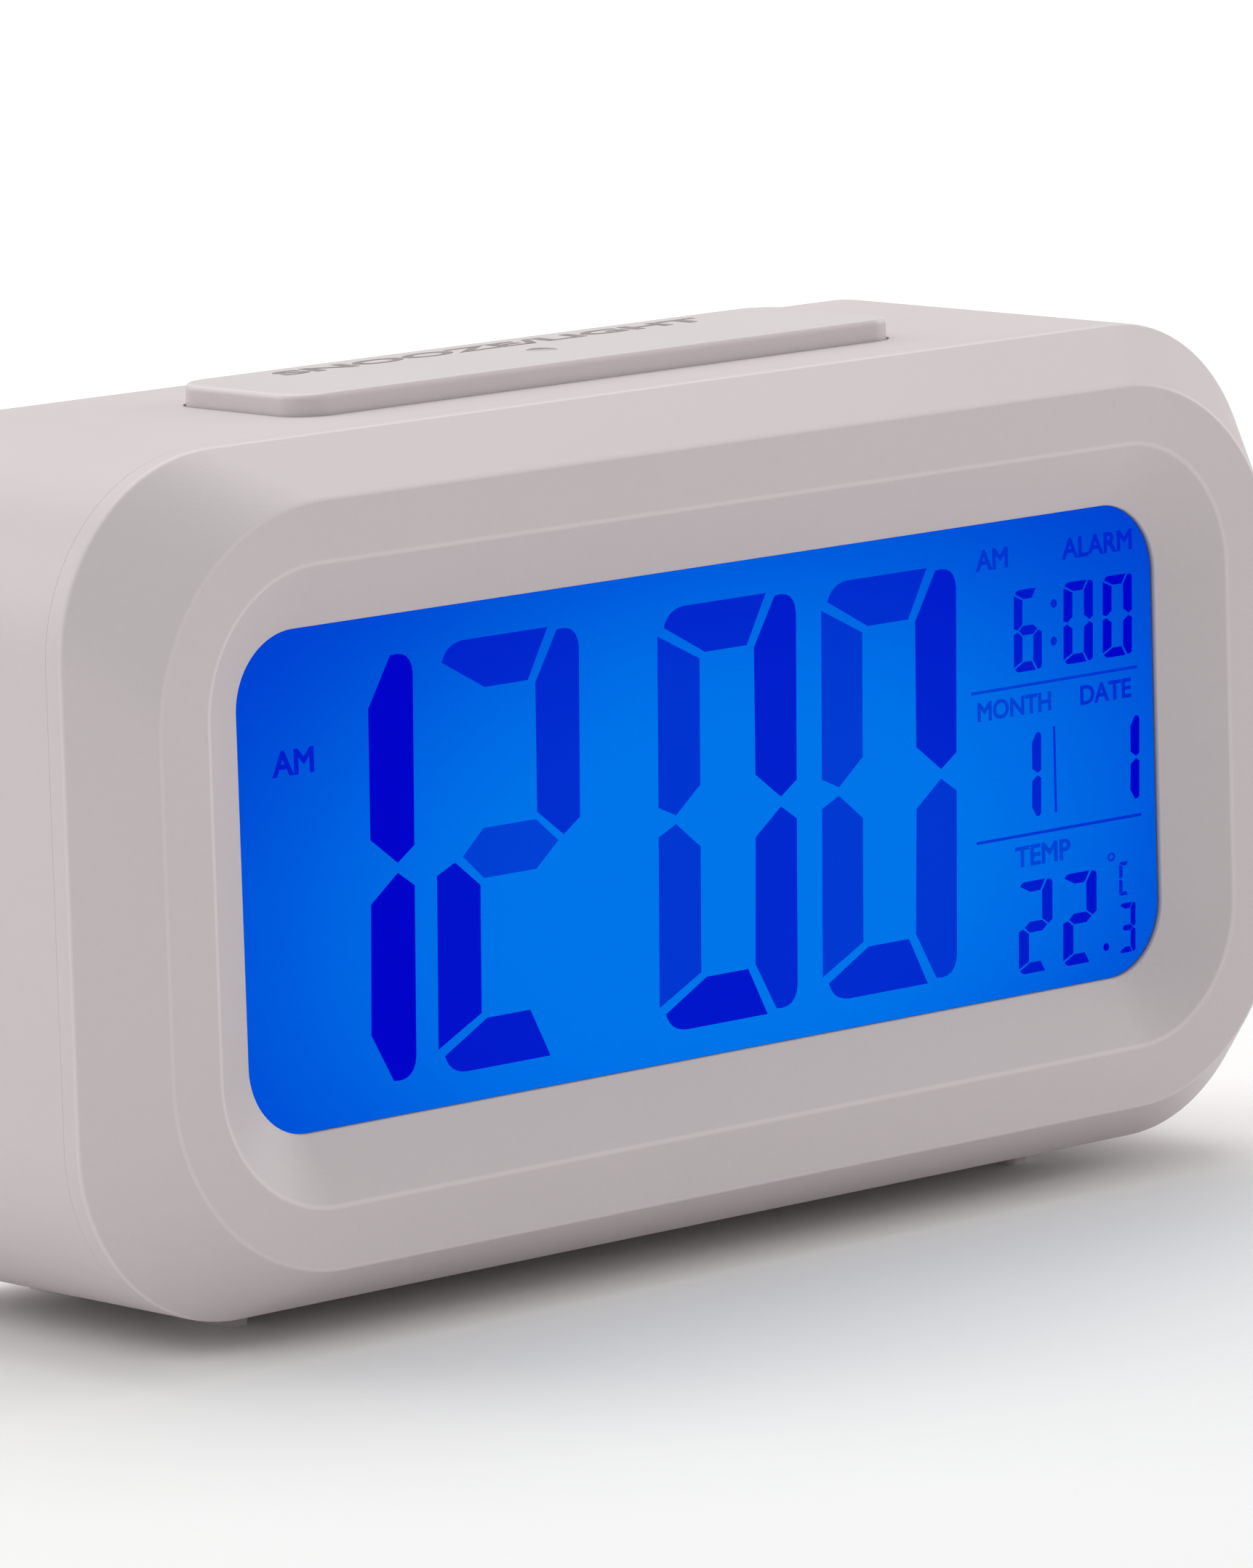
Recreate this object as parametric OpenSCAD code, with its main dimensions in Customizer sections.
// Desk alarm clock with a large LCD, a full-width snooze bar and rear controls.
// X runs to the right of someone facing the clock, Y to its back, Z up.
// The origin is at the middle of the footprint, on the surface that the feet stand on.

/* [Case] */
// Width of the case
body_w = 133; // [118:0.5:170]
// Height of the case, without feet and snooze bar
body_h = 70.4; // [66:0.2:90]
// Depth of the case, from the front ridge to the back face
body_d = 44; // [42:0.5:60]
// Radius of the case corners, seen from the front
corner_r = 16; // [12:0.5:20]
// Wall thickness of both shells
wall = 2; // [1.6:0.1:2.6]
// Rounding of the back edge
back_edge_r = 2.5; // [1:0.5:3.5]
// Depth of the parting line behind the front ridge
split_depth = 8.8; // [8:0.1:11]
// Height of the moulded feet
foot_h = 2.5; // [1:0.5:6]
// Width of one foot
foot_w = 2.4; // [2:0.2:8]
// Length of one foot from front to back
foot_d = 7; // [4:0.5:10]

/* [Bezel] */
// Width of the bezel at each side of the window
bezel_side = 15; // [13:0.5:22]
// Width of the bezel above and below the window
bezel_top = 14.8; // [13:0.2:20]
// Corner radius of the display window
window_r = 6.2; // [3:0.2:9]
// Depth of the window edge behind the ridge
dish_depth = 3.6; // [2.4:0.1:4.4]
// Distance of the ridge from the outside of the case
ridge_inset = 4.2; // [3:0.1:5]
// Corner radius of the ridge
ridge_r = 17.5; // [12:0.5:19]
// Width of the flat on top of the ridge
ridge_land = 0.5; // [0.2:0.1:1]
// Distance of the step in the dish from the window edge
step_out = 5.5; // [4:0.1:7]
// Depth of the step behind the ridge
step_depth = 0.35; // [0.1:0.05:0.8]
// Depth of the bevel round the front
bevel_depth = 7.1; // [5:0.1:7.6]

/* [Display] */
// Thickness of the lip in front of the display
lip_t = 0.6; // [0.4:0.1:1]
// Overlap of the display glass behind the lip, each side
glass_margin = 1.6; // [1:0.1:1.8]
// Thickness of one glass pane
pane_t = 1.1; // [0.7:0.1:1.1]
// Height of the contact ledge below the rear pane
ledge_h = 2.2; // [1.5:0.1:2.4]
// Thickness of a polariser, diffuser or reflector film
film_t = 0.2; // [0.1:0.05:0.3]
// Thickness of the light guide
guide_t = 3; // [2:0.1:3.2]
// Wall of the display holder
holder_wall = 1.4; // [1:0.1:2]

/* [Snooze bar] */
// Length of the snooze bar
bar_w = 67; // [50:1:80]
// Depth of the snooze bar from front to back
bar_d = 16.5; // [14:0.5:20]
// Height of the bar above the case
bar_proud = 1.8; // [1:0.1:3]
// Corner radius of the bar
bar_r = 3; // [1:0.5:5]
// Distance of the bar behind the front ridge
bar_front = 15.4; // [13:0.2:22]
// Travel of the bar
bar_travel = 0.8; // [0.4:0.1:1.2]
// Width of the retaining flange round the bar
bar_flange = 2; // [1:0.25:3]
// Diameter of the light sensor window in the bar
sensor_dia = 2.6; // [1.5:0.1:4]

/* [Rear controls] */
// Diameter of one button
button_dia = 7.4; // [5:0.2:8.4]
// Distance between buttons
button_pitch = 15; // [14:0.5:18]
// Height of buttons and knobs above the back face
button_proud = 0.8; // [0.4:0.1:1.5]
// Travel of one button
button_travel = 0.6; // [0.3:0.1:0.8]
// Height of the control row below the top of the case
row_drop = 14; // [12:0.5:17]
// Length of one slide knob
knob_w = 4.5; // [3:0.5:6]
// Height of one slide knob
knob_h = 3.6; // [3:0.2:5]
// Travel of a slide knob
knob_travel = 3.5; // [2:0.25:4]

/* [Batteries] */
// Diameter of one AAA cell
cell_dia = 10.5; // [10.5:0.1:14.5]
// Length of one AAA cell
cell_len = 44.5; // [40:0.5:50.5]
// Number of cells
cell_count = 3; // [2:1:3]
// Room for a contact at each end of a cell
contact_room = 3; // [2.5:0.1:4]
// Thickness of the battery door
door_t = 2.2; // [2:0.1:2.6]

/* [Clearances] */
// Gap between a moving part and the hole that it runs in
slide_gap = 0.25; // [0.15:0.05:0.4]
// Gap between pieces that are placed in each other by hand
fit_gap = 0.15; // [0.05:0.05:0.3]
// Radial clearance of a pin or screw in its bore
pin_gap = 0.05; // [0.02:0.01:0.1]

/* [Hidden] */

$fn = 48;
edge_fn = 96;       // facets of one full turn on the blended outlines
sliver = 0.02;      // thickness of the outlines that a blend is stretched over
over = 1;           // how far a cutter runs past the face that it opens

// Colours
shell_grey = "#d2cdca";
board_green = "#2f6b45";
steel = "#c4c6c8";
black_part = "#2a2a2c";

// Outline of the whole clock
total_d = body_d + button_proud;
front_y = -total_d / 2;
bottom_z = foot_h;
top_z = foot_h + body_h;
mid_z = (bottom_z + top_z) / 2;
function at_depth(d) = front_y + d;

// Bezel
window_w = body_w - 2 * bezel_side;
window_h = body_h - 2 * bezel_top;
ridge_w = body_w - 2 * ridge_inset;
ridge_h = body_h - 2 * ridge_inset;
step_w = window_w + 2 * step_out;
step_h = window_h + 2 * step_out;
step_r = window_r + step_out;

// Joint between the two shells: a tongue on the front enters the rear case
tongue_l = 1.6;
tongue_t = 1.2;
tongue_inset = wall + fit_gap;
front_inset = tongue_inset + tongue_t;
skin_depth = dish_depth + 2.4;

// Display stack, from the front
glass_front = dish_depth + lip_t + film_t;
glass_back = glass_front + 2 * pane_t;
guide_front = glass_back + 2 * film_t;
guide_back = guide_front + guide_t;
holder_floor = guide_back + film_t;
holder_back = holder_floor + 1.2;
holder_front = skin_depth + fit_gap;
glass_w = window_w + 2 * glass_margin;
glass_h = window_h + 2 * glass_margin;
ledge_z = mid_z - glass_h / 2 - ledge_h / 2;
full_glass_z = mid_z - ledge_h / 2;
full_glass_h = glass_h + ledge_h;
strip_t = 1.4;
holder_w = glass_w + 2 * (fit_gap + holder_wall);
holder_h = full_glass_h + 2 * (fit_gap + holder_wall);

// Main board, screwed to four bosses of the front frame
board_front = holder_back + 0.4;
board_t = 1.6;
board_back = board_front + board_t;
board_w = body_w - 2 * front_inset - 1.4;
board_h = body_h - 2 * wall - 17;
boss_r = 2.4;
board_screw_x = board_w / 2 - boss_r - 0.4;
board_screw_z = board_h / 2 - boss_r - 2;
board_bore_r = 0.8;

// Case screws, in posts on the diagonals of the corners
post_r = 3.2;
post_off = (corner_r - wall - 2 * fit_gap - post_r) * sqrt(0.5);
post_x = body_w / 2 - corner_r + post_off;
post_z = body_h / 2 - corner_r + post_off;
post_meet = board_front;
case_bore_r = 1.1;
case_head_r = 2.3;
case_head_t = 1.8;
case_seat = post_meet + 8;
case_screw_l = 12;
board_screw_l = 5.6;
key_screw_l = 4.2;
small_head_r = 1.6;
small_head_t = 1.1;
cross_w = 0.4;
cross_depth = 0.5;
hole_slack = 0.3;

// Snooze bar: it hangs by its flange under the top wall
bar_y = at_depth(bar_front + bar_d / 2);
bar_top = top_z + bar_proud;
flange_t = 1.2;
flange_top = top_z - wall - fit_gap;
flange_bottom = flange_top - flange_t;
bracket_t = 1.4;
bracket_top = flange_bottom - 6.4;
bracket_boss_x = bar_w / 2 + bar_flange + slide_gap + boss_r + 0.4;
bracket_w = 2 * (bracket_boss_x + boss_r);
bracket_d = 11;
snooze_board_d = bracket_d;
spring_x = bar_w / 2 - 8;
spring_r = 2.6;
spring_wire = 0.5;
snooze_board_w = 2 * (spring_x - spring_r - 1.5);
snooze_board_top = bracket_top + 1.2;
plunger_top = flange_bottom - bar_travel;
snooze_switch_x = 10;
switch_w = 6;
switch_button_r = 1.7;

// Rear controls
back_inner = body_d - wall;
row_z = top_z - row_drop;
key_board_back = back_inner - 4.5;
key_board_t = 1.2;
button_flange = 1.2;
button_flange_t = 1.05;
key_plunger = back_inner - fit_gap - button_flange_t - button_travel;
slide_x = 1.5 * button_pitch + button_dia / 2 + knob_travel + knob_w + 9;
key_board_w = 2 * (slide_x + 6.5);
key_board_h = 13;
key_screw_x = button_pitch;
knob_flange_w = knob_w + 2 * knob_travel + 1;
knob_flange_t = 0.9;
lever_w = 1.5;
slide_switch_w = 9.5;
slide_switch_h = 4.4;
slide_switch_t = 3;

// Battery bay, open at the back and closed by the door
cell_pitch = cell_dia + 0.35;
bay_w = cell_len + 2 * contact_room;
bay_h = cell_count * cell_pitch + 0.4;
bay_wall = 1.4;
bay_bottom = bottom_z + back_edge_r + 4.2;
bay_floor = body_d - door_t - cell_dia - 1.2;
bay_z = bay_bottom + bay_h / 2;
door_lap = 2.6;
rim_t = 1.2;
door_w = bay_w + 2 * door_lap;
door_h = bay_h + 2 * door_lap;
door_bottom = bay_z - door_h / 2;
hinge_r = 0.6;
hinge_l = 1.6;
hinge_z = door_bottom + door_t / 2;
hinge_depth = body_d - door_t / 2;
latch_w = 12;
latch_h = 1.2;
cell_depth = body_d - door_t - 0.6 - cell_dia / 2;
cell_nub_r = 1.9;
cell_nub_l = 0.9;
cone_tip_r = 2.2;
cone_base_r = 3.6;

tab_t = 0.4;
lead_r = 0.6;
lead_x = bay_w / 2 - 2;
lead_z = bay_z - bay_h / 2 + 2.2;

// Buzzer on one side of the bay, thermistor on the other
side_x = (bay_w / 2 + bay_wall + body_w / 2 - wall) / 2;
side_z = bay_z - 2;
sound_hole_r = 0.8;
sound_ring_r = 4.5;
vent_w = 10;
vent_h = 1.2;
vent_pitch = 2.8;
buzzer_r = 9;
buzzer_ring_h = 1.5;
buzzer_depth = back_inner - buzzer_ring_h;
therm_depth = back_inner - 2;

// A rounded rectangle
module rounded(w, h, r) {
    square([w - 2 * r, h], center = true);
    square([w, h - 2 * r], center = true);
    for (sx = [-1, 1], sz = [-1, 1])
        translate([sx * (w / 2 - r), sz * (h / 2 - r)]) circle(r);
}

// A rounded plate that faces the front, between two depths
module plate(w, h, r, d0, d1) {
    translate([0, at_depth(d1), mid_z]) rotate([90, 0, 0])
        linear_extrude(d1 - d0) rounded(w, h, r);
}

// A plain block between two depths, centred at x and z
module block(x, z, w, h, d0, d1) {
    translate([x - w / 2, at_depth(d0), z - h / 2]) cube([w, d1 - d0, h]);
}

// A round rod along the depth of the clock
module rod(x, z, r, d0, d1) {
    translate([x, at_depth(d1), z]) rotate([90, 0, 0]) cylinder(r = r, h = d1 - d0);
}

// A frame of one wall thickness that follows a rounded rectangle
module ring(w, h, r, t, d0, d1) {
    difference() {
        plate(w, h, r, d0, d1);
        plate(w - 2 * t, h - 2 * t, r - t, d0 - over, d1 + over);
    }
}

// A round wire swept along points, with an even number of sides
function unit(v) = v / norm(v);
function side_of(t) = abs(t[2]) > 0.9 ? [1, 0, 0] : [0, 0, 1];
module wire(points, r, sides = 8) {
    last = len(points) - 1;
    // Both ends are cut square to Y, so that they meet a board or a tab flat
    way = [0, sign(points[last][1] - points[0][1]), 0];
    tangent = [for (i = [0:last]) i == 0 || i == last ? way : unit(points[i + 1] - points[i - 1])];
    rings = [for (i = [0:last]) let (u = unit(cross(tangent[i], side_of(tangent[i]))),
        v = cross(tangent[i], u))
        for (k = [0:sides - 1]) points[i] + r * (cos(360 * k / sides) * u + sin(360 * k / sides) * v)];
    faces = concat(
        [[for (k = [0:sides - 1]) k]],
        [[for (k = [sides - 1:-1:0]) last * sides + k]],
        [for (i = [0:last - 1], k = [0:sides - 1])
            [i * sides + k, (i + 1) * sides + k, (i + 1) * sides + (k + 1) % sides,
                i * sides + (k + 1) % sides]]);
    polyhedron(rings, faces);
}

// Points of a smooth S bend from a to b that leaves and arrives along Y
function bend(a, b, n = 14) = [for (i = [0:n]) let (t = i / n, s = t * t * (3 - 2 * t))
    [a[0] + (b[0] - a[0]) * s, a[1] + (b[1] - a[1]) * t, a[2] + (b[2] - a[2]) * s]];

// ---- Shells -------------------------------------------------------------

module front_skin() {
    hull() {
        plate(ridge_w + ridge_land, ridge_h + ridge_land, ridge_r, 0, sliver, $fn = edge_fn);
        plate(body_w, body_h, corner_r, bevel_depth - sliver, bevel_depth, $fn = edge_fn);
    }
    plate(body_w, body_h, corner_r, bevel_depth - sliver, split_depth, $fn = edge_fn);
}

module dish() {
    hull() {
        plate(ridge_w - ridge_land, ridge_h - ridge_land, ridge_r, -sliver, 0, $fn = edge_fn);
        plate(step_w, step_h, step_r, step_depth - sliver, step_depth, $fn = edge_fn);
    }
    hull() {
        plate(step_w, step_h, step_r, step_depth - sliver, step_depth, $fn = edge_fn);
        plate(window_w, window_h, window_r, dish_depth - sliver, dish_depth, $fn = edge_fn);
    }
    plate(window_w, window_h, window_r, dish_depth - sliver, skin_depth, $fn = edge_fn);
}

module board_boss_places() {
    for (sx = [-1, 1], sz = [-1, 1]) translate([sx * board_screw_x, 0, sz * board_screw_z]) children();
}

module post_places() {
    for (sx = [-1, 1], sz = [-1, 1]) translate([sx * post_x, 0, sz * post_z]) children();
}

module front_frame() {
    color(shell_grey) difference() {
        union() {
            difference() {
                front_skin();
                plate(body_w - 2 * front_inset, body_h - 2 * front_inset, corner_r - front_inset,
                      skin_depth, split_depth + over);
            }
            ring(body_w - 2 * tongue_inset, body_h - 2 * tongue_inset, corner_r - tongue_inset, tongue_t,
                 skin_depth, split_depth + tongue_l);
            board_boss_places() rod(0, mid_z, boss_r, skin_depth - sliver, board_front);
            post_places() rod(0, mid_z, post_r, skin_depth - sliver, post_meet);
        }
        dish();
        block(0, full_glass_z, glass_w + 2 * fit_gap, full_glass_h + 2 * fit_gap, dish_depth + lip_t,
            skin_depth + over);
        board_boss_places() rod(0, mid_z, board_bore_r, board_front - 5, board_front + over);
        post_places() rod(0, mid_z, case_bore_r, skin_depth + 0.6, post_meet + over);
    }
}

// The back of the case is drawn in to a rounded edge
module rear_skin() {
    hull() {
        plate(body_w, body_h, corner_r, split_depth, body_d - back_edge_r, $fn = edge_fn);
        for (a = [15:15:90]) {
            inset = back_edge_r * (1 - cos(a));
            back = body_d - back_edge_r * (1 - sin(a));
            plate(body_w - 2 * inset, body_h - 2 * inset, corner_r - inset, back - sliver, back,
                $fn = edge_fn);
        }
    }
}

module feet() {
    for (sx = [-1, 1], d = [bar_front - 1, body_d - back_edge_r - foot_d - 1])
        translate([sx * (body_w / 2 - corner_r - 6.2), at_depth(d + foot_d / 2), 0])
            linear_extrude(foot_h + wall / 2) rounded(foot_w, foot_d, 0.8);
}

module battery_bay() {
    block(0, bay_z, bay_w + 2 * bay_wall, bay_h + 2 * bay_wall, bay_floor - bay_wall, body_d - door_t);
    // Rim that the edge of the door rests on
    block(0, bay_z, door_w + 2 * bay_wall, door_h + 2 * bay_wall, body_d - door_t - rim_t,
        back_inner + sliver);
}

module battery_bay_room() {
    block(0, bay_z, bay_w, bay_h, bay_floor, body_d + over);
    block(0, bay_z, door_w + 2 * fit_gap, door_h + 2 * fit_gap, body_d - door_t, body_d + over);
    block(0, bay_z + door_h / 2, latch_w + 2 * slide_gap, 2 * (latch_h + slide_gap), body_d - door_t,
        body_d + over);
    for (sx = [-1, 1])
        translate([sx * (door_w / 2 + hinge_l / 2 + fit_gap), at_depth(hinge_depth), hinge_z])
            rotate([0, 90, 0])
            cylinder(r = hinge_r + pin_gap, h = hinge_l + 2 * fit_gap, center = true);
}

module bracket_boss_places() {
    for (sx = [-1, 1]) translate([sx * bracket_boss_x, bar_y, 0]) children();
}

module key_post_places() {
    for (sx = [-1, 1]) translate([sx * key_screw_x, 0, 0]) children();
}

module sound_holes() {
    for (a = [0:60:300]) rod(side_x + sound_ring_r * cos(a), side_z + sound_ring_r * sin(a),
        sound_hole_r, back_inner - over, body_d + over);
    rod(side_x, side_z, sound_hole_r, back_inner - over, body_d + over);
}

module thermistor_vents() {
    for (i = [-1.5:1:1.5]) block(-side_x, side_z + vent_pitch * i, vent_w, vent_h,
        back_inner - over, body_d + over);
}

module rear_case() {
    color(shell_grey) difference() {
        union() {
            difference() {
                rear_skin();
                plate(body_w - 2 * wall, body_h - 2 * wall, corner_r - wall, split_depth - over,
                    back_inner);
            }
            feet();
            // The hinge pins of the door run in two thick pads beside the bay
            for (sx = [-1, 1]) block(sx * (door_w / 2 + 2.4), hinge_z + 1, 5, 5, back_inner - 1.4,
                back_inner + sliver);
            battery_bay();
            post_places() rod(0, mid_z, post_r, post_meet, back_inner + sliver);
            bracket_boss_places() translate([0, 0, bracket_top])
                cylinder(r = boss_r, h = top_z - wall - bracket_top + sliver);
            key_post_places() rod(0, row_z, boss_r - 0.2, key_board_back, back_inner + sliver);
            difference() {
                rod(side_x, side_z, buzzer_r, buzzer_depth, back_inner + sliver);
                rod(side_x, side_z, buzzer_r - 1.4, buzzer_depth - over, back_inner + sliver);
            }
        }
        battery_bay_room();
        // Opening for the snooze bar
        translate([0, bar_y, top_z - wall - over]) linear_extrude(wall + 2 * over)
            rounded(bar_w + 2 * slide_gap, bar_d + 2 * slide_gap, bar_r + slide_gap);
        for (i = [-1.5:1:1.5]) rod(i * button_pitch, row_z, button_dia / 2 + slide_gap,
            back_inner - over, body_d + over);
        for (sx = [-1, 1]) block(sx * slide_x, row_z, knob_w + knob_travel + 2 * slide_gap,
            knob_h + 2 * slide_gap,
                                 back_inner - over, body_d + over);
        sound_holes();
        thermistor_vents();
        post_places() {
            rod(0, mid_z, case_bore_r + 0.2, post_meet - over, case_seat + over);
            rod(0, mid_z, case_head_r + hole_slack, case_seat, body_d + over);
        }
        bracket_boss_places() translate([0, 0, bracket_top - over])
            cylinder(r = board_bore_r, h = 5 + over);
        key_post_places() rod(0, row_z, board_bore_r, key_board_back - over, key_board_back + 3.6);
        // Passages for the battery leads
        for (sx = [-1, 1]) rod(sx * lead_x, lead_z, lead_r + 0.3, bay_floor - bay_wall - over,
            bay_floor + over);
    }
}

// ---- Display ------------------------------------------------------------

module front_polariser() {
    color([0.05, 0.42, 0.92]) block(0, mid_z, glass_w, glass_h, glass_front - film_t, glass_front);
}

// The front pane carries the contacts on a ledge that the rear pane leaves bare
module lcd_glass() {
    color([0.55, 0.7, 0.85, 0.6]) {
        block(0, full_glass_z, glass_w, full_glass_h, glass_front, glass_front + pane_t);
        block(0, mid_z, glass_w, glass_h, glass_front + pane_t, glass_back);
    }
}

module rear_polariser() {
    color([0.35, 0.4, 0.45]) block(0, mid_z, glass_w, glass_h, glass_back, glass_back + film_t);
}

module diffuser_film() {
    color("white") block(0, mid_z, window_w + 1, window_h + 1, glass_back + film_t, guide_front);
}

module light_guide() {
    color([0.6, 0.8, 1, 0.7]) block(0, mid_z, window_w + 0.6, window_h + 0.6, guide_front, guide_back);
}

module reflector_film() {
    color("white") block(0, mid_z, window_w + 0.6, window_h + 0.6, guide_back, holder_floor);
}

// One LED at each end of the light guide
module backlight_leds() {
    color([0.95, 0.95, 0.85])
        for (sx = [-1, 1]) block(sx * (window_w / 2 + 0.3 + 0.5), mid_z, 1, 3.2, guide_front + 0.2,
            guide_back - 0.2);
}

// Rubber strip that joins the contacts of the glass to those of the board
module contact_strip() {
    color([0.85, 0.5, 0.35]) block(0, ledge_z, window_w - 12, strip_t, glass_front + pane_t, board_front);
}

module lcd_holder() {
    color("whitesmoke") difference() {
        block(0, full_glass_z, holder_w, holder_h, holder_front, holder_back);
        block(0, full_glass_z, glass_w + 2 * fit_gap, full_glass_h + 2 * fit_gap, holder_front - over,
            glass_back + film_t);
        block(0, mid_z, window_w + 2.8, window_h + 1.2, holder_front - over, holder_floor);
        block(0, ledge_z, window_w - 11.4, strip_t + 2 * fit_gap, holder_front - over,
            holder_back + over);
        // The corners are cut round the case posts
        post_places() rod(0, mid_z, post_r + fit_gap, holder_front - over, holder_back + over);
    }
}

// ---- Main board ---------------------------------------------------------

module main_board() {
    color(board_green) difference() {
        block(0, mid_z, board_w, board_h, board_front, board_back);
        board_boss_places() rod(0, mid_z, board_bore_r + hole_slack, board_front - over, board_back + over);
        // The corners are cut round the case posts
        post_places() rod(0, mid_z, post_r + 0.4, board_front - over, board_back + over);
    }
}

// Bonded chip under a drop of black resin
module clock_chip() {
    chip_x = -18;
    chip_z = mid_z + 2;
    drop_h = 2;
    drop_r = 12.5;
    color(black_part) intersection() {
        translate([chip_x, at_depth(board_back) - drop_r + drop_h, chip_z]) sphere(drop_r, $fn = 200);
        block(chip_x, chip_z, 1.5 * drop_r, 1.5 * drop_r, board_back, board_back + drop_h + 1);
    }
}

module crystal() {
    color(steel) translate([6, at_depth(board_back + 1), mid_z + 6]) rotate([0, 90, 0])
        cylinder(r = 1, h = 6);
}

module capacitors() {
    color([0.15, 0.17, 0.35]) for (x = [22, 30]) rod(x, mid_z + 8, 2.5, board_back, board_back + 7);
}

// Pan head screw along the depth of the clock, with its head at the back
module back_screw(x, z, r, seat, l, head_r, head_t) {
    rod(x, z, r, seat - l, seat + sliver);
    difference() {
        rod(x, z, head_r, seat, seat + head_t);
        block(x, z, 1.3 * head_r, cross_w, seat + head_t - cross_depth, seat + head_t + over);
        block(x, z, cross_w, 1.3 * head_r, seat + head_t - cross_depth, seat + head_t + over);
    }
}

module board_screws() {
    color(steel) board_boss_places() back_screw(0, mid_z, board_bore_r - pin_gap, board_back,
        board_screw_l, small_head_r, small_head_t);
}

module case_screws() {
    color(steel) post_places() back_screw(0, mid_z, case_bore_r - pin_gap, case_seat, case_screw_l,
        case_head_r, case_head_t);
}

// ---- Snooze bar ---------------------------------------------------------

module snooze_bar() {
    color("#dedad8") difference() {
        translate([0, bar_y, 0]) {
            translate([0, 0, flange_bottom]) linear_extrude(bar_top - flange_bottom)
                rounded(bar_w, bar_d, bar_r);
            translate([0, 0, flange_bottom]) linear_extrude(flange_t)
                rounded(bar_w + 2 * bar_flange, bar_d + 2 * bar_flange, bar_r + bar_flange);
        }
        translate([0, bar_y, flange_bottom - over])
            cylinder(r = sensor_dia / 2 + pin_gap, h = bar_top - flange_bottom + 2 * over);
    }
}

module sensor_window() {
    color([0.45, 0.43, 0.42]) translate([0, bar_y, flange_bottom])
        cylinder(r = sensor_dia / 2, h = bar_top - flange_bottom - 0.1);
}

module snooze_springs() {
    color(steel) for (sx = [-1, 1]) translate([sx * spring_x, bar_y, bracket_top]) difference() {
        cylinder(r = spring_r, h = flange_bottom - bracket_top);
        translate([0, 0, -over]) cylinder(r = spring_r - spring_wire,
            h = flange_bottom - bracket_top + 2 * over);
    }
}

module snooze_bracket() {
    color("whitesmoke") difference() {
        union() {
            translate([-bracket_w / 2, bar_y - bracket_d / 2, bracket_top - bracket_t])
                cube([bracket_w, bracket_d, bracket_t]);
            for (sx = [-1, 1]) translate([sx * spring_x, bar_y, bracket_top - sliver])
                cylinder(r = spring_r - spring_wire - slide_gap, h = 2.4);
        }
        bracket_boss_places() translate([0, 0, bracket_top - bracket_t - over])
            cylinder(r = board_bore_r + hole_slack, h = bracket_t + 2 * over);
    }
}

module bracket_screws() {
    color(steel) bracket_boss_places() translate([0, 0, bracket_top - bracket_t]) {
        translate([0, 0, -sliver]) cylinder(r = board_bore_r - pin_gap, h = board_screw_l);
        difference() {
            translate([0, 0, -small_head_t]) cylinder(r = small_head_r, h = small_head_t);
            translate([-small_head_t, -cross_w / 2, -small_head_t - over])
                cube([2 * small_head_t, cross_w, cross_depth + over]);
            translate([-cross_w / 2, -small_head_t, -small_head_t - over])
                cube([cross_w, 2 * small_head_t, cross_depth + over]);
        }
    }
}

module snooze_board() {
    color(board_green) translate([-snooze_board_w / 2, bar_y - snooze_board_d / 2, bracket_top])
        cube([snooze_board_w, snooze_board_d, snooze_board_top - bracket_top]);
}

module snooze_switch() {
    color(black_part) translate([snooze_switch_x, bar_y, snooze_board_top]) {
        translate([-switch_w / 2, -switch_w / 2, 0]) cube([switch_w, switch_w, 2.6]);
        cylinder(r = switch_button_r, h = plunger_top - snooze_board_top);
    }
}

// Light-dependent resistor that looks up through the window in the bar
module light_sensor() {
    color([0.85, 0.6, 0.35]) translate([0, bar_y, snooze_board_top]) {
        translate([0, 0, plunger_top - snooze_board_top - 2]) cylinder(r = 2.5, h = 2);
        for (sx = [-1, 1]) translate([1.4 * sx, 0, 0])
            cylinder(r = 0.3, h = plunger_top - snooze_board_top - 1);
    }
}

// ---- Rear controls ------------------------------------------------------

module button(i) {
    color("#d8d4d1") {
        rod((i - 1.5) * button_pitch, row_z, button_dia / 2, back_inner - fit_gap - sliver,
            body_d + button_proud);
        rod((i - 1.5) * button_pitch, row_z, button_dia / 2 + button_flange,
            key_plunger + button_travel, back_inner - fit_gap);
    }
}
module down_button() { button(0); }
module up_button() { button(1); }
module set_button() { button(2); }
module mode_button() { button(3); }

module key_switches() {
    color(black_part) for (i = [-1.5:1:1.5]) {
        block(i * button_pitch, row_z, switch_w, switch_w, key_board_back, key_board_back + 1.8);
        rod(i * button_pitch, row_z, switch_button_r, key_board_back, key_plunger);
    }
}

module key_board() {
    color(board_green) difference() {
        block(0, row_z, key_board_w, key_board_h, key_board_back - key_board_t, key_board_back);
        key_post_places() rod(0, row_z, board_bore_r + hole_slack, key_board_back - key_board_t - over,
            key_board_back + over);
    }
}

module key_screws() {
    color(steel) key_post_places() translate([0, 0, row_z]) mirror([0, 1, 0])
        translate([0, -2 * at_depth(key_board_back - key_board_t), 0])
        back_screw(0, 0, board_bore_r - pin_gap, key_board_back - key_board_t, key_screw_l, small_head_r,
            small_head_t - 0.1);
}

// A slide knob rests at the end of its travel that is nearer the middle of the clock
function knob_rest(side) = side * slide_x - knob_travel / 2;

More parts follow.
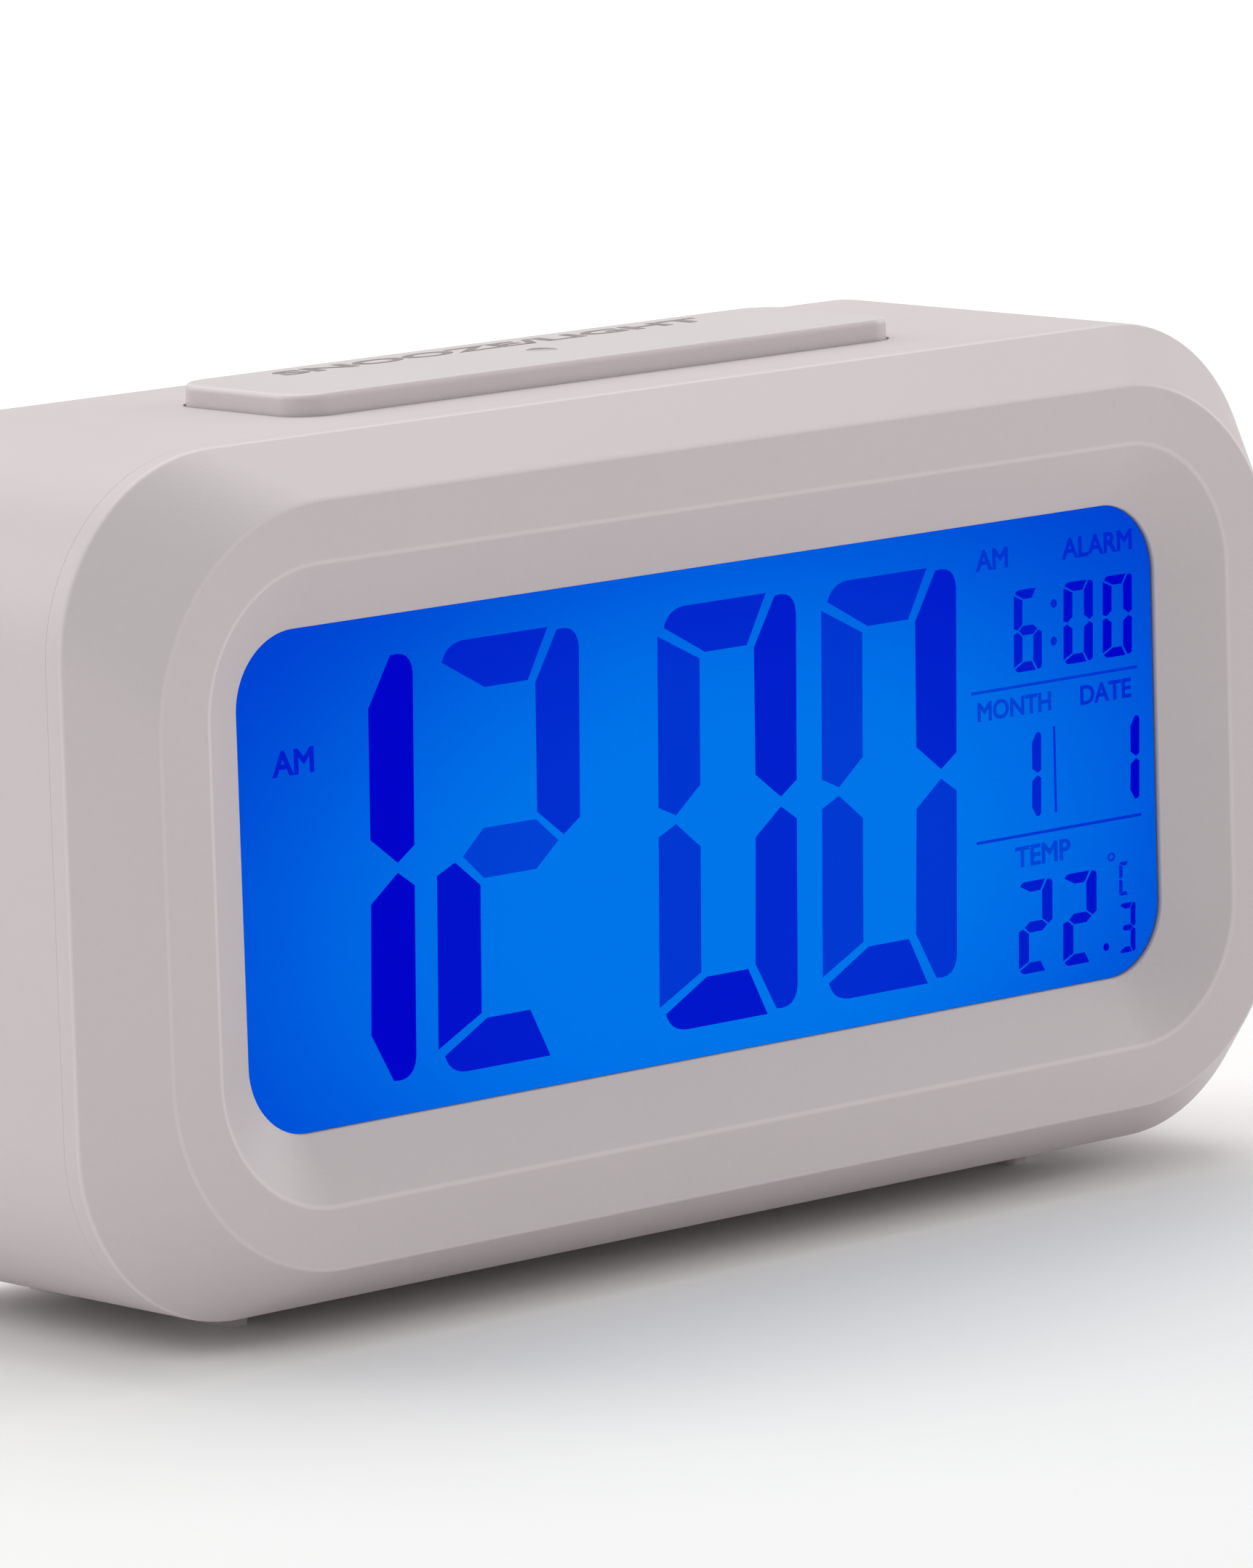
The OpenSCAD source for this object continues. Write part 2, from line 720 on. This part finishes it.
module slide_knob(side) {
    color("#d8d4d1") difference() {
        union() {
            block(knob_rest(side), row_z, knob_w, knob_h, back_inner - slide_gap - sliver,
                body_d + button_proud);
            block(knob_rest(side), row_z, knob_flange_w, knob_h + 2,
                back_inner - slide_gap - knob_flange_t, back_inner - slide_gap);
        }
        for (i = [-1:1]) block(knob_rest(side) + 1.2 * i, row_z, 0.4, knob_h + over,
            body_d + button_proud - 0.4, body_d + button_proud + over);
        block(knob_rest(side), row_z, lever_w + 0.1, lever_w + 0.1,
            back_inner - slide_gap - knob_flange_t - over, back_inner);
    }
}

module slide_lever(side) {
    color(black_part) block(knob_rest(side), row_z, lever_w, lever_w, key_board_back + 2.6,
        back_inner - 0.2);
}

module slide_switch(side) {
    color(steel) difference() {
        block(side * slide_x, row_z, slide_switch_w, slide_switch_h, key_board_back,
            key_board_back + slide_switch_t);
        block(side * slide_x, row_z, knob_travel + lever_w + 2 * slide_gap, lever_w + 2 * slide_gap,
            key_board_back + 2.4, key_board_back + slide_switch_t + over);
    }
}
module alarm_knob() { slide_knob(-1); }
module alarm_lever() { slide_lever(-1); }
module alarm_switch() { slide_switch(-1); }
module sensor_knob() { slide_knob(1); }
module sensor_lever() { slide_lever(1); }
module sensor_switch() { slide_switch(1); }

// ---- Batteries ----------------------------------------------------------

module battery_door() {
    color(shell_grey) {
        difference() {
            block(0, hinge_z + (door_h - door_t / 2) / 2, door_w, door_h - door_t / 2,
                body_d - door_t, body_d);
            // Finger groove below the latch
            block(0, bay_z + door_h / 2 - 5, latch_w + 2, 1.2, body_d - 0.8, body_d + over);
            block(0, bay_z + door_h / 2 - 7.5, latch_w - 1, 1.2, body_d - 0.8, body_d + over);
        }
        // Rounded lower edge and its two hinge pins
        translate([0, at_depth(hinge_depth), hinge_z]) rotate([0, 90, 0]) {
            cylinder(r = door_t / 2, h = door_w, center = true);
            cylinder(r = hinge_r, h = door_w + 2 * hinge_l, center = true);
        }
        block(0, bay_z + door_h / 2 + latch_h / 2 - sliver, latch_w, latch_h + 2 * sliver,
            body_d - door_t + 0.3, body_d - 0.3);
    }
}

function cell_z(i) = bay_z + (i - (cell_count - 1) / 2) * cell_pitch;
function cell_way(i) = i % 2 == 0 ? 1 : -1;

module cell(i) {
    if (i < cell_count) color(i % 2 == 0 ? "#4b7f4f" : "#4b7f5f")
        translate([0, at_depth(cell_depth), cell_z(i)]) rotate([0, 90 * cell_way(i), 0]) {
            translate([0, 0, -cell_len / 2]) cylinder(r = cell_dia / 2, h = cell_len - cell_nub_l);
            translate([0, 0, cell_len / 2 - cell_nub_l - sliver])
                cylinder(r = cell_nub_r, h = cell_nub_l + sliver);
        }
}
module cell_1() { cell(0); }
module cell_2() { cell(1); }
module cell_3() { cell(2); }

// Cone spring behind the flat end of each cell
module battery_springs() {
    color(steel) for (i = [0:cell_count - 1])
        translate([-cell_way(i) * cell_len / 2, at_depth(cell_depth), cell_z(i)])
        rotate([0, -90 * cell_way(i), 0]) difference() {
            cylinder(r1 = cone_tip_r, r2 = cone_base_r, h = contact_room - tab_t);
            translate([0, 0, -sliver]) cylinder(r1 = cone_tip_r - spring_wire,
                r2 = cone_base_r - spring_wire, h = contact_room - tab_t + 2 * sliver);
        }
}

// Sheet metal contacts at both ends, with a raised pad for the button end of a cell
module battery_plates() {
    color([0.82, 0.82, 0.8]) for (i = [0:cell_count - 1], s = [-1, 1]) {
        block(s * (bay_w / 2 - tab_t / 2), cell_z(i), tab_t, cell_pitch - 1.6, bay_floor,
            body_d - door_t - 1);
        if (s == cell_way(i)) block(s * (bay_w / 2 - contact_room / 2), cell_z(i), contact_room, 3.4,
                                    cell_depth - 1.7, cell_depth + 1.7);
        // Tab on the floor of the bay where a lead is soldered
        if (i == 0) block(s * (bay_w + 2 * lead_x - 2) / 4, lead_z, bay_w / 2 - lead_x + 1, 3,
            bay_floor, bay_floor + tab_t);
    }
}

// ---- Sound and temperature ----------------------------------------------

module buzzer_disc() {
    color([0.8, 0.65, 0.3]) rod(side_x, side_z, buzzer_r, buzzer_depth - 0.25, buzzer_depth);
}

module buzzer_ceramic() {
    color("whitesmoke") rod(side_x, side_z, 6.5, buzzer_depth - 0.5, buzzer_depth - 0.25);
}

module thermistor() {
    color([0.2, 0.35, 0.3]) rod(-side_x, side_z, 1.3, therm_depth - 1, therm_depth + 1);
}

// ---- Wiring -------------------------------------------------------------

module battery_leads() {
    for (sx = [-1, 1]) color(sx > 0 ? "firebrick" : "black")
        wire(bend([sx * lead_x, at_depth(bay_floor), lead_z],
            [sx * (lead_x - 6), at_depth(board_back), mid_z - 18]), lead_r);
}

module thermistor_leads() {
    color(steel) for (sz = [-1, 1])
        wire(bend([-side_x, at_depth(therm_depth - 1), side_z + 0.6 * sz],
                  [-side_x + 4, at_depth(board_back), side_z + 6 + 1.2 * sz]), 0.25, 6);
}

module buzzer_leads() {
    color("firebrick") for (sx = [-1, 1])
        wire(bend([side_x + 3 * sx, at_depth(buzzer_depth - 0.5), side_z],
            [side_x - 5 + 2 * sx, at_depth(board_back), side_z + 6]), 0.4, 6);
}

// Flat ribbon in the Y-Z plane that runs between two boards
module ribbon(x, w, y0, z0, y1, z1) {
    path = bend([0, y0, z0], [0, y1, z1], 18);
    outline = concat([for (p = path) [p[1], p[2] + 0.3]],
        [for (i = [18:-1:0]) [path[i][1], path[i][2] - 0.3]]);
    translate([x - w / 2, 0, 0]) rotate([90, 0, 90]) linear_extrude(w) polygon(outline);
}

module key_ribbon() {
    color("silver") ribbon(-30, 9, at_depth(board_back), mid_z + 4,
        at_depth(key_board_back - key_board_t), row_z - 3);
}

module snooze_ribbon() {
    color("silver") ribbon(17, 5, at_depth(board_back), mid_z + 14, bar_y - snooze_board_d / 2,
        (bracket_top + snooze_board_top) / 2);
}

front_frame();
rear_case();
front_polariser();
lcd_glass();
rear_polariser();
diffuser_film();
light_guide();
reflector_film();
backlight_leds();
contact_strip();
lcd_holder();
main_board();
clock_chip();
crystal();
capacitors();
board_screws();
snooze_bar();
sensor_window();
snooze_springs();
snooze_bracket();
bracket_screws();
snooze_board();
snooze_switch();
light_sensor();
mode_button();
set_button();
up_button();
down_button();
key_switches();
key_board();
key_screws();
alarm_knob();
alarm_lever();
alarm_switch();
sensor_knob();
sensor_lever();
sensor_switch();
battery_door();
battery_springs();
battery_plates();
cell_1();
cell_2();
cell_3();
buzzer_disc();
buzzer_ceramic();
thermistor();
battery_leads();
thermistor_leads();
buzzer_leads();
key_ribbon();
snooze_ribbon();
case_screws();
